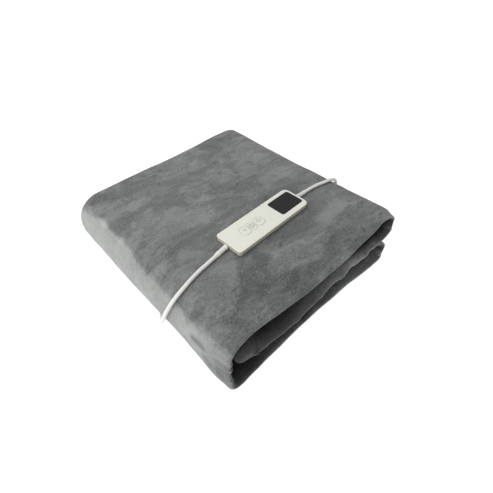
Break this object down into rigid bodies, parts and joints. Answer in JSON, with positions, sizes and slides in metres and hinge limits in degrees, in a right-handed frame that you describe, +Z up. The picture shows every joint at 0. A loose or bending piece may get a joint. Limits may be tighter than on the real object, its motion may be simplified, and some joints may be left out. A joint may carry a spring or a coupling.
{
  "type": "electric heated blanket",
  "caption": "Plush heated throw folded to a square slab, with a hand controller on top, its display and push keys, and its leads and mains plug.",
  "frame": {"origin": "on the floor, under the middle of the folded throw", "axes": "+Z up; -Y is the open section face that shows the folds; -X is the wrapping fold that the blanket lead crosses; +X is the side with the two folded ends, where the mains lead leaves"},
  "size_m": [0.4526, 0.4296, 0.1039],
  "materials": {
    "plush": "brushed plush pile",
    "ivory_plastic": "satin",
    "display_window": "gloss, dark",
    "key_plastic": "matt",
    "lead_sheath": "matt",
    "pin_metal": "satin"
  },
  "bodies": {
    "blanket_body": {"throw": "plush", "controller_base": "ivory_plastic", "controller_cover": "ivory_plastic", "display_window": "display_window", "blanket_lead_relief": "lead_sheath", "blanket_lead": "lead_sheath", "blanket_lead_boot": "lead_sheath", "mains_lead_relief": "lead_sheath", "mains_lead_run": "lead_sheath", "mains_lead_coil": "lead_sheath", "mains_lead_tail": "lead_sheath", "plug_relief": "lead_sheath", "plug_body": "lead_sheath", "plug_pin_left": "pin_metal", "plug_pin_right": "pin_metal"},
    "power_key_body": {"key_power": "key_plastic"},
    "heat_key_body": {"key_heat": "key_plastic"},
    "timer_key_body": {"key_timer": "key_plastic"}
  },
  "joints": [
    {"name": "power_key_press", "type": "slide", "parent": "blanket_body", "child": "power_key_body", "axis": [0, 0, -1], "range_m": [0, 0.0008], "stiffness_N_per_m": 200},
    {"name": "heat_key_press", "type": "slide", "parent": "blanket_body", "child": "heat_key_body", "axis": [0, 0, -1], "range_m": [0, 0.0008], "stiffness_N_per_m": 200},
    {"name": "timer_key_press", "type": "slide", "parent": "blanket_body", "child": "timer_key_body", "axis": [0, 0, -1], "range_m": [0, 0.0008], "stiffness_N_per_m": 200}
  ]
}
